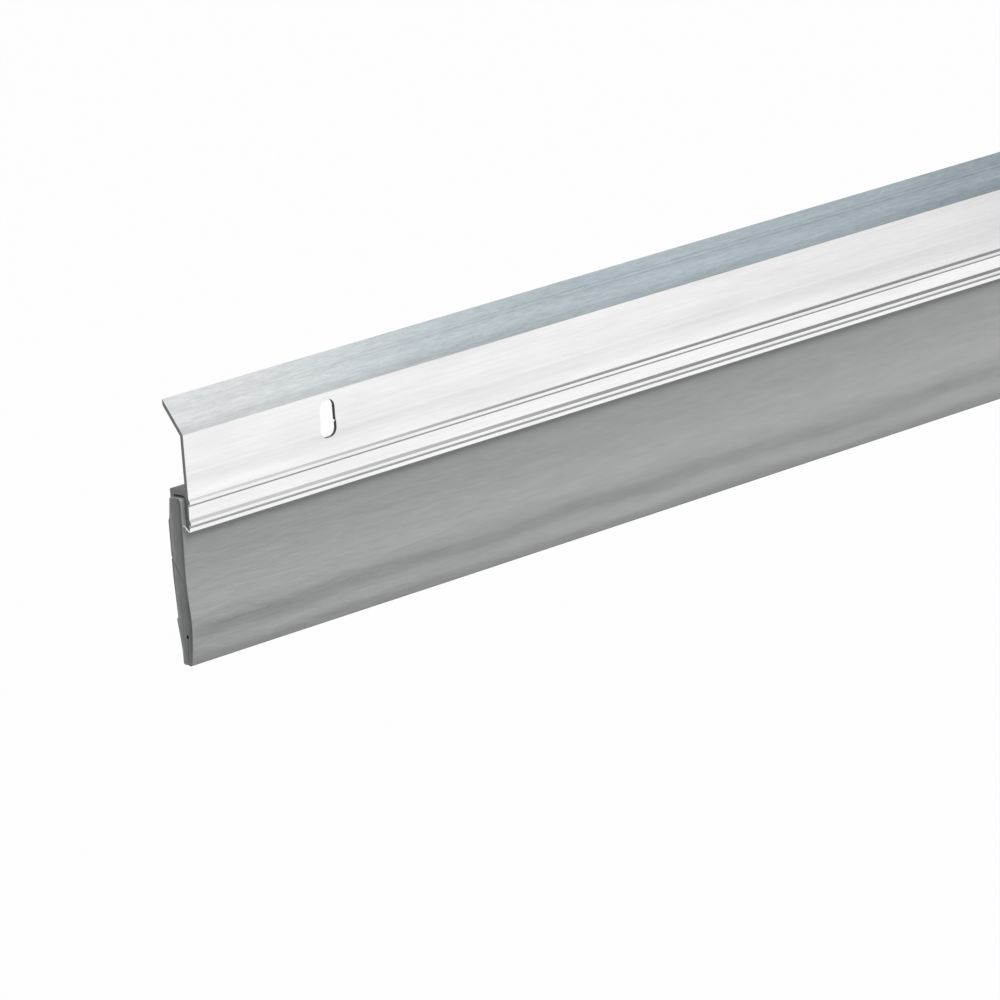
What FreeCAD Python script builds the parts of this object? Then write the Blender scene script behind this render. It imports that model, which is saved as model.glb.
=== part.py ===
import FreeCAD, Part
import os
import Sketcher

# Door bottom seal: an extruded aluminium carrier that is screwed along the foot of a
# door, and a flexible vinyl seal that is slid into the channel on the carrier's back.
#
# Frame: X along the strip, +Y towards the door, +Z up. Sections are drawn with their
# height counted from the bend between lip and web. Both pieces are then lifted so that
# the origin is the middle of the flat back of the channel, which lies on the door.

# Driving dimensions in millimetres, apart from the angle in degrees and the count.
SIZES = (
    ("carrier_length", 914.4, "cut length of the aluminium strip"),
    ("overall_height", 50.8, "top of the lip to the bottom of the seal"),
    ("stand_off", 4.9, "front of the web to the face of the door"),
    ("metal_wall", 0.8, "thickness of the lip and the web"),
    ("lip_angle", 37, "lean of the lip from upright, towards the door"),
    ("web_height", 18.6, "bend down to the lower edge of the web"),
    ("web_lean", 0.32, "how far the foot of the web is crimped in on the seal"),
    ("roof_drop", 10.6, "bend down to the top of the channel's roof"),
    ("roof_wall", 1.05, "thickness of the channel's roof"),
    ("leg_height", 5.3, "roof top down to the tip of the back leg"),
    ("leg_root", 0.9, "thickness of the back leg under the roof"),
    ("leg_tip", 0.35, "thickness of the back leg at its tip"),
    ("corner_round", 0.3, "rounding at the corners of the channel"),
    ("bead_drop", 12.1, "bend down to the top of the upper bead"),
    ("bead_pitch", 4.0, "upper bead to lower bead"),
    ("bead_height", 1.2, "height of a bead"),
    ("bead_slope", 0.45, "height of the sloped top of a bead"),
    ("bead_proud", 0.3, "how far a bead stands out of the web"),
    ("slot_width", 4.2, "width of a screw slot"),
    ("slot_height", 7.2, "height of a screw slot"),
    ("slot_drop", 5.1, "bend down to the middle of a screw slot"),
    ("slot_inset", 36.9, "end of the strip to the first screw slot"),
    ("slot_count", 5, "number of screw slots"),
    ("seal_overhang", 1.1, "vinyl past each end of the aluminium"),
    ("head_gap", 0.5, "roof of the channel to the top of the seal"),
    ("head_front_gap", 0.3, "back of the web to the seal, at the top"),
    ("grip_gap", 0.05, "gap where metal and vinyl grip"),
    ("shoulder_rise", 0.6, "height of the seal's slope under the back leg"),
    ("back_relief", 0.1, "back of the seal to the face of the door"),
    ("waist_height", 18.1, "seal's waist above its foot"),
    ("waist_depth", 1.4, "front of the web to the seal's waist"),
    ("turn_height", 11.0, "where the seal's front turns from hollow to round, above its foot"),
    ("bulge_height", 8.4, "seal's front bulge above its foot"),
    ("bulge_depth", 0.85, "front of the web to the seal's front bulge"),
    ("foot_depth", 1.77, "front of the web to the front of the seal's foot"),
    ("foot_back", 3.86, "front of the web to the back of the seal's foot"),
    ("heel_height", 2.8, "straight back of the seal's foot"),
    ("notch_height", 8.75, "notch in the seal's back above its foot"),
    ("notch_depth", 0.35, "depth of the notch in the seal's back"),
    ("notch_rise", 0.45, "height of the notch's slope"),
    ("foot_round", 0.4, "rounding of the seal's foot"),
    ("hinge_top", 21.1, "mouth of the hinge slit above the seal's foot"),
    ("hinge_drop", 5.2, "fall of the hinge slit from back to front"),
    ("hinge_skin", 0.75, "vinyl left in front of the hinge slit"),
    ("slit_gap", 0.18, "width of the slits in the seal"),
    ("keyhole_height", 5.6, "eye of the foot slit above the seal's foot"),
    ("keyhole_depth", 2.3, "front of the web to the eye of the foot slit"),
    ("keyhole_radius", 0.27, "radius of the eye"),
    ("slit_depth", 2.68, "front of the web to the mouth of the foot slit"),
)

# Lengths that follow from the driving dimensions, as expressions on the sheet.
HALF_LENGTH = "Sizes.carrier_length / 2"
WEB_FRONT = "-Sizes.stand_off"
WEB_MIDDLE = "Sizes.metal_wall / 2 - Sizes.stand_off"
WEB_BACK = "Sizes.metal_wall - Sizes.stand_off"
LIP_TOP = "Sizes.stand_off / tan(Sizes.lip_angle)"
ROOF_TOP = "-Sizes.roof_drop"
ROOF_UNDER = "-Sizes.roof_drop - Sizes.roof_wall"
LEG_FOOT = "-Sizes.roof_drop - Sizes.leg_height"
WEB_FOOT = "-Sizes.web_height"
SEAL_TOP = f"{ROOF_UNDER} - Sizes.head_gap"
SEAL_FOOT = f"{LIP_TOP} - Sizes.overall_height"
SEAL_FRONT = f"{WEB_BACK} + Sizes.web_lean + Sizes.grip_gap"
FRAME_LIFT = "Sizes.roof_drop + Sizes.leg_height / 2"

SAME_PLACE = 1e-4  # two points nearer than this are one corner

doc = FreeCAD.newDocument("DoorBottomSeal")
sheet = doc.addObject("Spreadsheet::Sheet", "Sizes")
for row, (alias, value, note) in enumerate(SIZES, start=1):
    sheet.set(f"A{row}", alias.replace("_", " "))
    sheet.set(f"B{row}", str(value))
    sheet.setAlias(f"B{row}", alias)
    sheet.set(f"C{row}", note)
doc.recompute()


def measure(expression):
    """Value of an expression on the sheet, to draw a sketch close to its solution."""
    return float(sheet.evalExpression(expression))


def new_sketch(body, name, role):
    """A sketch on one of the body's own origin planes."""
    sketch = body.newObject("Sketcher::SketchObject", name)
    plane = next(item for item in body.Origin.OriginFeatures if item.Role == role)
    sketch.AttachmentSupport = [(plane, "")]
    sketch.MapMode = "FlatFace"
    return sketch


def bind(sketch, constraint, expression):
    """Adds a dimension to a sketch and ties it to the sheet."""
    index = sketch.addConstraint(constraint)
    sketch.setExpression(f"Constraints[{index}]", expression)


def pin_down(sketch, item, end, across, up):
    """Ties one point of a sketch to its two coordinates."""
    if across == "0":
        sketch.addConstraint(Sketcher.Constraint("PointOnObject", item, end, -2))
    else:
        bind(sketch, Sketcher.Constraint("DistanceX", -1, 1, item, end, measure(across)), across)
    if up == "0":
        sketch.addConstraint(Sketcher.Constraint("PointOnObject", item, end, -1))
    else:
        bind(sketch, Sketcher.Constraint("DistanceY", -1, 1, item, end, measure(up)), up)


def draw_side(sketch, start, end, centre_up):
    """Line or arc from start to end. Returns its number and the ends of it that lie there.

    An arc is given by the height of its centre, which puts the centre as far from start
    as from end. A sketch keeps arcs counter-clockwise, so a clockwise one has its ends swapped.
    """
    if centre_up is None:
        return sketch.addGeometry(Part.LineSegment(start, end)), 1, 2
    height = measure(centre_up)
    square = start.x ** 2 - end.x ** 2 + (start.y - height) ** 2 - (end.y - height) ** 2
    centre = FreeCAD.Vector(square / (2 * (start.x - end.x)), height, 0)
    spoke = ((start + end) / 2 - centre).normalize() * (start - centre).Length
    clockwise = (start - centre).cross(end - centre).z < 0
    first, last = (end, start) if clockwise else (start, end)
    arc = sketch.addGeometry(Part.Arc(first, centre + spoke, last))
    bind(sketch, Sketcher.Constraint("DistanceY", -1, 1, arc, 3, height), centre_up)
    return (arc, 2, 1) if clockwise else (arc, 1, 2)


def draw_outline(sketch, corners, centres=None):
    """Closed outline through corners of (across, up) expressions.

    A side is straight, or an arc where centres gives the height of the centre of the side
    that starts at that corner.
    """
    points = [FreeCAD.Vector(measure(across), measure(up), 0) for across, up in corners]
    heights = [(centres or {}).get(corner) for corner in corners]
    sides = [draw_side(sketch, *ends) for ends in zip(points, points[1:] + points[:1], heights)]
    for i, (across, up) in enumerate(corners):
        side, start, _ = sides[i]
        before, _, end = sides[i - 1]
        sketch.addConstraint(Sketcher.Constraint("Coincident", before, end, side, start))
        pin_down(sketch, side, start, across, up)


def draw_circle(sketch, across, up, radius):
    """Full circle about a point that is given by expressions."""
    centre = FreeCAD.Vector(measure(across), measure(up), 0)
    circle = sketch.addGeometry(Part.Circle(centre, FreeCAD.Vector(0, 0, 1), measure(radius)))
    pin_down(sketch, circle, 3, across, up)
    bind(sketch, Sketcher.Constraint("Radius", circle, measure(radius)), radius)


def draw_slot(sketch, across, up, width, height):
    """Upright slot with round ends about its middle."""
    radius = measure(width) / 2
    middle = FreeCAD.Vector(measure(across), measure(up), 0)
    reach = FreeCAD.Vector(0, measure(height) / 2 - radius, 0)
    side = FreeCAD.Vector(radius, 0, 0)
    tip = FreeCAD.Vector(0, radius, 0)
    top = sketch.addGeometry(Part.Arc(middle + reach + side, middle + reach + tip, middle + reach - side))
    left = sketch.addGeometry(Part.LineSegment(middle + reach - side, middle - reach - side))
    foot = sketch.addGeometry(Part.Arc(middle - reach - side, middle - reach - tip, middle - reach + side))
    right = sketch.addGeometry(Part.LineSegment(middle - reach + side, middle + reach + side))
    for first, first_end, second, second_end in (
        (top, 2, left, 1),
        (left, 2, foot, 1),
        (foot, 2, right, 1),
        (right, 2, top, 1),
    ):
        sketch.addConstraint(Sketcher.Constraint("Tangent", first, first_end, second, second_end))
    sketch.addConstraint(Sketcher.Constraint("Vertical", left))
    sketch.addConstraint(Sketcher.Constraint("Vertical", right))
    bind(sketch, Sketcher.Constraint("Radius", top, radius), f"{width} / 2")
    half_reach = f"({height} - {width}) / 2"
    pin_down(sketch, top, 3, across, f"{up} + {half_reach}")
    bind(sketch, Sketcher.Constraint("DistanceY", foot, 3, top, 3, 2 * reach.y), f"2 * {half_reach}")


def extrude(body, kind, name, sketch, length=None):
    """Pad of a stated length, or a pocket right through, to both sides of the sketch."""
    feature = body.newObject(kind, name)
    feature.Profile = sketch
    feature.SideType = "Symmetric"
    if length is None:
        feature.Type = "ThroughAll"
    else:
        feature.setExpression("Length", length)
    return feature


def round_edges(body, name, corners, radius):
    """Fillet on the lengthwise edges that stand at the given corners of the section."""
    doc.recompute()
    base = body.Tip
    names = []
    for across, up in corners:
        spot = FreeCAD.Vector(0, measure(across), measure(up))
        for number, edge in enumerate(base.Shape.Edges, start=1):
            ends = [FreeCAD.Vector(0, vertex.Y, vertex.Z) for vertex in edge.Vertexes]
            if all(end.distanceToPoint(spot) < SAME_PLACE for end in ends):
                names.append(f"Edge{number}")
    if len(names) != len(corners):
        raise RuntimeError(f"{name}: found {len(names)} of {len(corners)} edges")
    fillet = body.newObject("PartDesign::Fillet", name)
    fillet.Base = (base, names)
    fillet.setExpression("Radius", radius)


def repeat(body, name, feature, direction, extent, occurrences):
    """Pattern of one feature along a direction, over a whole extent."""
    pattern = body.newObject("PartDesign::LinearPattern", name)
    pattern.Originals = [feature]
    pattern.Direction = direction
    pattern.Mode = "Extent"
    pattern.setExpression("Length", extent)
    pattern.setExpression("Occurrences", occurrences)
    body.Tip = pattern


def build_carrier():
    """Aluminium extrusion: lip, web, channel, two beads and a row of upright screw slots."""
    body = doc.addObject("PartDesign::Body", "Carrier")
    body.Label = "aluminium_carrier"
    length = "Sizes.carrier_length"

    web = new_sketch(body, "WebSection", "YZ_Plane")
    draw_outline(web, (
        ("0", LIP_TOP),
        (WEB_FRONT, "0"),
        (WEB_FRONT, ROOF_UNDER),
        (f"{WEB_FRONT} + Sizes.web_lean", WEB_FOOT),
        (f"{WEB_BACK} + Sizes.web_lean", WEB_FOOT),
        (WEB_BACK, ROOF_UNDER),
        (WEB_BACK, "-Sizes.metal_wall * tan(Sizes.lip_angle / 2)"),
        ("0", f"{LIP_TOP} - Sizes.metal_wall / sin(Sizes.lip_angle)"),
    ))
    extrude(body, "PartDesign::Pad", "Web", web, length)

    channel = new_sketch(body, "ChannelSection", "YZ_Plane")
    roof_corner = ("0", ROOF_TOP)
    leg_corner = ("-Sizes.leg_root", ROOF_UNDER)
    draw_outline(channel, (
        (WEB_MIDDLE, ROOF_TOP),
        roof_corner,
        ("0", LEG_FOOT),
        ("-Sizes.leg_tip", LEG_FOOT),
        leg_corner,
        (WEB_MIDDLE, ROOF_UNDER),
    ))
    extrude(body, "PartDesign::Pad", "Channel", channel, length)
    web_corner = (WEB_BACK, ROOF_UNDER)
    round_edges(body, "ChannelCorners", (roof_corner, leg_corner, web_corner), "Sizes.corner_round")

    bead = new_sketch(body, "BeadSection", "YZ_Plane")
    bead_tip = f"{WEB_FRONT} - Sizes.bead_proud"
    buried_slope = "Sizes.metal_wall / 2 * Sizes.bead_slope / Sizes.bead_proud"
    draw_outline(bead, (
        (WEB_MIDDLE, f"{buried_slope} - Sizes.bead_drop"),
        (bead_tip, "-Sizes.bead_drop - Sizes.bead_slope"),
        (bead_tip, "-Sizes.bead_drop - Sizes.bead_height"),
        (WEB_MIDDLE, "-Sizes.bead_drop - Sizes.bead_height"),
    ))
    top = FreeCAD.Vector(measure(WEB_FRONT), measure(ROOF_UNDER), 0)
    foot = FreeCAD.Vector(measure(f"{WEB_FRONT} + Sizes.web_lean"), measure(WEB_FOOT), 0)
    web_line = bead.addGeometry(Part.LineSegment(top, foot), True)
    pin_down(bead, web_line, 1, WEB_FRONT, ROOF_UNDER)
    pin_down(bead, web_line, 2, f"{WEB_FRONT} + Sizes.web_lean", WEB_FOOT)
    upper_bead = extrude(body, "PartDesign::Pad", "UpperBead", bead, length)
    doc.recompute()
    repeat(body, "Beads", upper_bead, (bead, ["Axis0"]), "Sizes.bead_pitch", "2")

    slot = new_sketch(body, "SlotOutline", "XZ_Plane")
    slot_across = f"Sizes.slot_inset - {HALF_LENGTH}"
    draw_slot(slot, slot_across, "-Sizes.slot_drop", "Sizes.slot_width", "Sizes.slot_height")
    first_slot = extrude(body, "PartDesign::Pocket", "FirstSlot", slot)
    doc.recompute()
    slot_extent = "Sizes.carrier_length - 2 * Sizes.slot_inset"
    repeat(body, "Slots", first_slot, (slot, ["H_Axis"]), slot_extent, "Sizes.slot_count")
    return body


def build_seal():
    """Vinyl extrusion: gripped head, thick blade with a hinge slit, and a split foot."""
    body = doc.addObject("PartDesign::Body", "Seal")
    body.Label = "vinyl_seal"

    seal = new_sketch(body, "SealSection", "YZ_Plane")
    leg_slope = "(Sizes.leg_root - Sizes.leg_tip) / (Sizes.leg_height - Sizes.roof_wall)"
    head_back = f"Sizes.head_gap * {leg_slope} - Sizes.leg_root - Sizes.grip_gap"
    shoulder = f"{LEG_FOOT} - Sizes.grip_gap"
    neck_back = "-Sizes.leg_tip - Sizes.grip_gap"
    back = "-Sizes.back_relief"
    foot_back = "Sizes.foot_back - Sizes.stand_off"
    notch = f"{SEAL_FOOT} + Sizes.notch_height"
    head_corner = (f"{WEB_BACK} + Sizes.head_front_gap", SEAL_TOP)
    waist_up = f"{SEAL_FOOT} + Sizes.waist_height"
    bulge_up = f"{SEAL_FOOT} + Sizes.bulge_height"
    waist = (f"{WEB_FRONT} + Sizes.waist_depth", waist_up)
    bulge = (f"{WEB_FRONT} + Sizes.bulge_depth", bulge_up)
    turn_share = "(Sizes.waist_height - Sizes.turn_height) / (Sizes.waist_height - Sizes.bulge_height)"
    turn_depth = f"Sizes.waist_depth - (Sizes.waist_depth - Sizes.bulge_depth) * {turn_share}"
    turn = (f"{WEB_FRONT} + {turn_depth}", f"{SEAL_FOOT} + Sizes.turn_height")
    toe = (f"{WEB_FRONT} + Sizes.foot_depth", SEAL_FOOT)
    heel = (foot_back, SEAL_FOOT)
    draw_outline(seal, (
        head_corner,
        (SEAL_FRONT, WEB_FOOT),
        waist,
        turn,
        bulge,
        toe,
        heel,
        (foot_back, f"{SEAL_FOOT} + Sizes.heel_height"),
        (back, notch),
        (f"{back} - Sizes.notch_depth", f"{notch} + Sizes.notch_rise"),
        (back, f"{SEAL_FOOT} + Sizes.waist_height"),
        (back, f"{shoulder} - Sizes.shoulder_rise"),
        (neck_back, shoulder),
        (head_back, SEAL_TOP),
    ), {waist: waist_up, turn: bulge_up, bulge: bulge_up})
    length = "Sizes.carrier_length + 2 * Sizes.seal_overhang"
    extrude(body, "PartDesign::Pad", "Blade", seal, length)
    round_edges(body, "SmallCurves", (head_corner, toe, heel), "Sizes.foot_round")

    hinge = new_sketch(body, "HingeSlit", "YZ_Plane")
    mouth = f"{SEAL_FOOT} + Sizes.hinge_top"
    end_across = f"{WEB_FRONT} + Sizes.waist_depth + Sizes.hinge_skin"
    end_up = f"{mouth} - Sizes.hinge_drop"
    draw_outline(hinge, (
        ("Sizes.back_relief", f"{mouth} + Sizes.slit_gap"),
        ("Sizes.back_relief", f"{mouth} - Sizes.slit_gap"),
        (end_across, f"{end_up} - Sizes.slit_gap"),
        (end_across, f"{end_up} + Sizes.slit_gap"),
    ))
    extrude(body, "PartDesign::Pocket", "Hinge", hinge)

    foot_slit = new_sketch(body, "FootSlit", "YZ_Plane")
    eye_across = f"{WEB_FRONT} + Sizes.keyhole_depth"
    eye_up = f"{SEAL_FOOT} + Sizes.keyhole_height"
    mouth_across = f"{WEB_FRONT} + Sizes.slit_depth"
    below = f"{SEAL_FOOT} - Sizes.foot_round"
    draw_outline(foot_slit, (
        (f"{eye_across} - Sizes.slit_gap / 2", eye_up),
        (f"{mouth_across} - Sizes.slit_gap / 2", below),
        (f"{mouth_across} + Sizes.slit_gap / 2", below),
        (f"{eye_across} + Sizes.slit_gap / 2", eye_up),
    ))
    extrude(body, "PartDesign::Pocket", "Slit", foot_slit)

    eye = new_sketch(body, "SlitEye", "YZ_Plane")
    draw_circle(eye, eye_across, eye_up, "Sizes.keyhole_radius")
    extrude(body, "PartDesign::Pocket", "Eye", eye)
    return body


pieces = (build_carrier(), build_seal())
for piece in pieces:
    piece.setExpression(".Placement.Base.z", FRAME_LIFT)
doc.recompute()

for item in doc.Objects:
    faults = [state for state in item.State if state in ("Invalid", "Error")]
    if faults:
        raise RuntimeError(f"{item.Label} is {faults[0]}")
for piece in pieces:
    if piece.Shape.isNull() or not piece.Shape.isValid():
        raise RuntimeError(f"{piece.Label} has no valid shape")

os.makedirs("parts", exist_ok=True)
for piece in pieces:
    box = piece.Shape.BoundBox
    print(f"{piece.Label}: {len(piece.Shape.Solids)} solid, {piece.Shape.Volume:.1f} mm3,",
          f"{box.XLength:.2f} x {box.YLength:.2f} x {box.ZLength:.2f} mm")
    piece.Shape.exportStep(f"parts/{piece.Label}.step")
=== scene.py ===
import math
import bpy
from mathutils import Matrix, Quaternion, Vector


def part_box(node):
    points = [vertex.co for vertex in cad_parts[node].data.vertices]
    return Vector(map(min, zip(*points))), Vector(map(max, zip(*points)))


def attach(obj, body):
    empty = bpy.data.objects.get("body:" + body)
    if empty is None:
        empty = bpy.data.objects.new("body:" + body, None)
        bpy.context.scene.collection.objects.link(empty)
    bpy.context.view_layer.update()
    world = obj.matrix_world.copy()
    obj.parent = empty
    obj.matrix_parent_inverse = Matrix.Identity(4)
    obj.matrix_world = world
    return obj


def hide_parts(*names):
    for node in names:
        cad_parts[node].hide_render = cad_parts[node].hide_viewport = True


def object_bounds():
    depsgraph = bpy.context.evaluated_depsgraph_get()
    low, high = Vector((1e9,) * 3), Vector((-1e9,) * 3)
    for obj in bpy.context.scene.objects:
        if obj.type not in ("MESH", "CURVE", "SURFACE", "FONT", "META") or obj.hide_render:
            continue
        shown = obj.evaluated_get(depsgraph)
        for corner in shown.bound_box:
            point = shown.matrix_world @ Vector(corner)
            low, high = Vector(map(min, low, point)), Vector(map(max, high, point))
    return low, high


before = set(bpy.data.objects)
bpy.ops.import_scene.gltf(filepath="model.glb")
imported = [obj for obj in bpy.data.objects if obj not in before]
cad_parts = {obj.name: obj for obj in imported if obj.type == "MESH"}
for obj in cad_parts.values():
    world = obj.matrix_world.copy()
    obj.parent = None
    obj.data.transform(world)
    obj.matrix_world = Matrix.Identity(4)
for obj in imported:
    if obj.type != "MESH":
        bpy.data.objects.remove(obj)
cadLow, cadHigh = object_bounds()
stripLow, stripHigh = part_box("aluminium_carrier")
sealLow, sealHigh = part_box("vinyl_seal")
mm = 0.001
stripLength = (stripHigh.x - stripLow.x) / mm
sealLength = (sealHigh.x - sealLow.x) / mm
webHeight = 18.6  # mm, from the strip's foot up to the bend between lip and web
bendLevel = stripLow.z / mm + webHeight
shadeAngle = 35  # degrees, edges sharper than this aren't shaded round
noiseSpread = (0.3, 0.7)  # nearly all of a noise texture's values lie between these
print("frame loaded, strip", round(stripLength, 1), "mm long")


# Helpers

def linear(hexColour):  # sRGB hex to the linear colour that Blender works in
    parts = [int(hexColour[i:i + 2], 16) / 255 for i in (1, 3, 5)]
    return [c / 12.92 if c <= 0.04045 else ((c + 0.055) / 1.055) ** 2.4 for c in parts] + [1]


def addNode(tree, kind, settings=None, links=None, stops=()):
    # links: socket to a node, a socket or a value; stops: a colour ramp's (position, colour)
    node = tree.nodes.new(kind)
    for name, value in (settings or {}).items():
        setattr(node, name, value)
    for name, value in (links or {}).items():
        if isinstance(value, bpy.types.Node):
            value = value.outputs[0]
        if isinstance(value, bpy.types.NodeSocket):
            tree.links.new(value, node.inputs[name])
        else:
            node.inputs[name].default_value = value
    if stops:
        elements = node.color_ramp.elements
        while len(elements) < len(stops):
            elements.new(0.5)
        for element, (position, colour) in zip(elements, stops):
            element.position = position
            element.color = linear(colour)
    return node


def lengthwise(tree, vector):  # how much of a vector lies along the strip, without its sign
    along = addNode(tree, "ShaderNodeSeparateXYZ", links={"Vector": vector}).outputs["X"]
    return addNode(tree, "ShaderNodeMath", {"operation": "ABSOLUTE"}, {0: along})


def stretchedNoise(tree, place, grain, links):  # grain: mm along the strip, across it and up
    scale = tuple(1 / (size * mm) for size in grain)
    stretched = addNode(tree, "ShaderNodeMapping", links={"Vector": place, "Scale": scale})
    return addNode(tree, "ShaderNodeTexNoise", links={"Vector": stretched, "Scale": 1, **links})


def newMaterial(name):
    material = bpy.data.materials.new(name)
    material.use_nodes = True
    material.node_tree.nodes.clear()
    return material, material.node_tree


def newObject(name, data):
    thing = bpy.data.objects.new(name, data)
    bpy.context.scene.collection.objects.link(thing)
    return thing


def newCurve(name, places, closed):  # places in mm
    data = bpy.data.curves.new(name, "CURVE")
    data.dimensions = "3D"
    spline = data.splines.new("POLY")
    spline.points.add(len(places) - 1)
    for point, place in zip(spline.points, places):
        point.co = (*[part * mm for part in place], 1)
    spline.use_cyclic_u = closed
    return newObject(name, data), spline.points


def outlineCurve(name, corners):  # closed outline of (across, up, rounding, mark)
    source, points = newCurve(name, [(across, up, 0) for across, up, *_ in corners], True)
    for point, (_, _, rounding, *mark) in zip(points, corners):
        point.radius = rounding * mm  # the node tree reads it as the corner's fillet
        point.tilt = mark[0] if mark else 0
    return source


def pathCurve(name, stations):  # open path of (x, y, z, scale)
    source, points = newCurve(name, [station[:3] for station in stations], False)
    for point, station in zip(points, stations):
        point.radius = station[3]  # the node tree reads it as the section's scale there
    return source


def endToEnd(name, length, bevel, step):  # path along X, with one more station for the bevel at each end
    half = length / 2
    count = max(1, round((length - 2 * bevel) / step))
    inner = [bevel - half + (length - 2 * bevel) * i / count for i in range(count + 1)]
    return pathCurve(name, [(x, 0, 0, 1) for x in (-half, *inner, half)])


def growPiece(name, source, buildTree, values):  # the tree's result as a plain mesh
    tree = bpy.data.node_groups.new(name + "Tree", "GeometryNodeTree")
    kinds = {float: "Float", int: "Int", bpy.types.Object: "Object", bpy.types.Material: "Material"}
    tree.interface.new_socket("Geometry", in_out="INPUT", socket_type="NodeSocketGeometry")
    for label, value in values.items():
        tree.interface.new_socket(label, in_out="INPUT", socket_type="NodeSocket" + kinds[type(value)])
    tree.interface.new_socket("Geometry", in_out="OUTPUT", socket_type="NodeSocketGeometry")
    given = tree.nodes.new("NodeGroupInput").outputs
    addNode(tree, "NodeGroupOutput", links={"Geometry": buildTree(tree, given)})
    modifier = source.modifiers.new(tree.name, "NODES")
    modifier.node_group = tree
    for item in tree.interface.items_tree:
        if item.name in values:
            modifier[item.identifier] = values[item.name]
    shape = source.evaluated_get(bpy.context.evaluated_depsgraph_get())
    mesh = bpy.data.meshes.new_from_object(shape)
    source.modifiers.remove(modifier)
    for helper in (source, *[value for value in values.values() if isinstance(value, bpy.types.Object)]):
        bpy.data.objects.remove(helper)
    mesh.name = name
    mesh.set_sharp_from_angle(angle=math.radians(shadeAngle))
    piece = newObject(name, mesh)
    evener = piece.modifiers.new("evenShading", "WEIGHTED_NORMAL")  # flat faces stay flat beside roundings
    evener.keep_sharp = True
    print(name, "has", len(mesh.polygons), "faces")
    return piece


# Camera: a long lens, low and to the left, as in the photo

cameraPlace = {
    "position": (-1.318476, -0.957917, 0.318162),
    "azimuth": 44.663,  # degrees, as are the next two
    "elevation": 14.076,
    "roll": -4.375,
    "lens": 257.79,
    "sensor": 36,
    "farthest": 80,  # metres, past the far sides of the floor
}
azimuth, elevation = math.radians(cameraPlace["azimuth"]), math.radians(cameraPlace["elevation"])
look = Vector((
    math.sin(azimuth) * math.cos(elevation),
    math.cos(azimuth) * math.cos(elevation),
    -math.sin(elevation),
))
camera = newObject("camera", bpy.data.cameras.new("camera"))
camera.data.lens = cameraPlace["lens"]
camera.data.sensor_width = cameraPlace["sensor"]
camera.data.clip_end = cameraPlace["farthest"]
camera.location = cameraPlace["position"]
camera.rotation_mode = "QUATERNION"
camera.rotation_quaternion = (
    look.to_track_quat("-Z", "Y") @ Quaternion((0, 0, 1), math.radians(cameraPlace["roll"]))
)
bpy.context.scene.camera = camera
print("camera set")


# Mill-finish aluminium: pressed through a die and left bare. It is bright and nearly white,
# with fine lines and a patchy haze along the extrusion, and no brushing across.

millFinish = {
    "hazeTints": ((0.36, "#f3f3f3"), (0.5, "#f8f8f8"), (0.64, "#fcfcfc")),
    "hazeGrain": (34, 3.2, 3.2),  # mm
    "roughness": (0.12, 0.18),  # over the patches
    "lineGrain": (60, 0.45, 0.45),  # real lines are finer, this is what the picture can show
    "lineValues": (0.38, 0.6),  # of the noise, between which a line shows
    "lineFade": 0.97,
    "lineHeight": 0.001,
    "patchGrain": (3.5, 0.5, 0.5),  # soft mottling from how the metal cooled
    "patchDepth": 0.001,
    "patchAndReflectionTones": (0.012, 0.2),  # how much it changes the tone of the web and of the lip, where the stronger tone is painted reflection
    "patchBlend": 0.3,  # up and down from the bend, where the one turns into the other
    # heights above the strip's foot, and the tone of the painted reflection and shade bands there
    "reflectionBands": (
        (0, "#ffffff"), (7.4, "#ffffff"), (8.6, "#f9f9f9"), (10.1, "#f4f4f4"), (10.7, "#f4f4f4"),
        (11.1, "#fbfbfb"), (11.35, "#fbfbfb"), (11.6, "#f8f8f8"), (14, "#fdfdfd"), (18.5, "#fdfdfd"),
        (18.7, "#ececec"), (19.2, "#ebebeb"), (19.5, "#f0f0f0"), (19.7, "#ececec"), (19.95, "#f8f8f8"),
        (20.4, "#f8f8f8"), (20.7, "#fdfdfd"), (21.6, "#ffffff"), (22.1, "#f8f8f8"), (23.3, "#fcfcfc"),
    ),
    "bandsReach": 25.2,
    # two hairlines from the die, at heights above the foot too
    "hairlines": (
        (22.36, "#ffffff"), (22.48, "#dcdcdc"), (22.6, "#ffffff"),
        (22.95, "#ffffff"), (23.07, "#dfdfdf"), (23.19, "#ffffff"),
    ),
    "hairlinesFrom": (45, 115),  # mm from the end, where they begin to show and where they are plain
    "hairlinesRest": 0.25,  # how plain they are at the end itself
}


def reflectionAndDieTones(tree, place, height):  # the painted reflection and shade bands and the two die hairlines, as two factors
    values = millFinish
    share = addNode(tree, "ShaderNodeMapRange", links={
        "Value": height, "From Min": stripLow.z, "From Max": stripLow.z + values["bandsReach"] * mm,
    })
    reflectionBands, hairlines = [
        addNode(tree, "ShaderNodeValToRGB", links={"Fac": share}, stops=[
            (up / values["bandsReach"], tone) for up, tone in values[name]
        ])
        for name in ("reflectionBands", "hairlines")
    ]
    begin, full = values["hairlinesFrom"]
    plainness = addNode(tree, "ShaderNodeMapRange", links={
        "Value": lengthwise(tree, place),
        "From Min": stripHigh.x - full * mm,
        "From Max": stripHigh.x - begin * mm,
        "To Min": 1,
        "To Max": values["hairlinesRest"],
    })
    drop = addNode(tree, "ShaderNodeMath", {"operation": "SUBTRACT"}, {0: hairlines, 1: 1})
    lines = addNode(tree, "ShaderNodeMath", {"operation": "MULTIPLY_ADD"}, {0: drop, 1: plainness, 2: 1})
    return reflectionBands, lines


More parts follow.
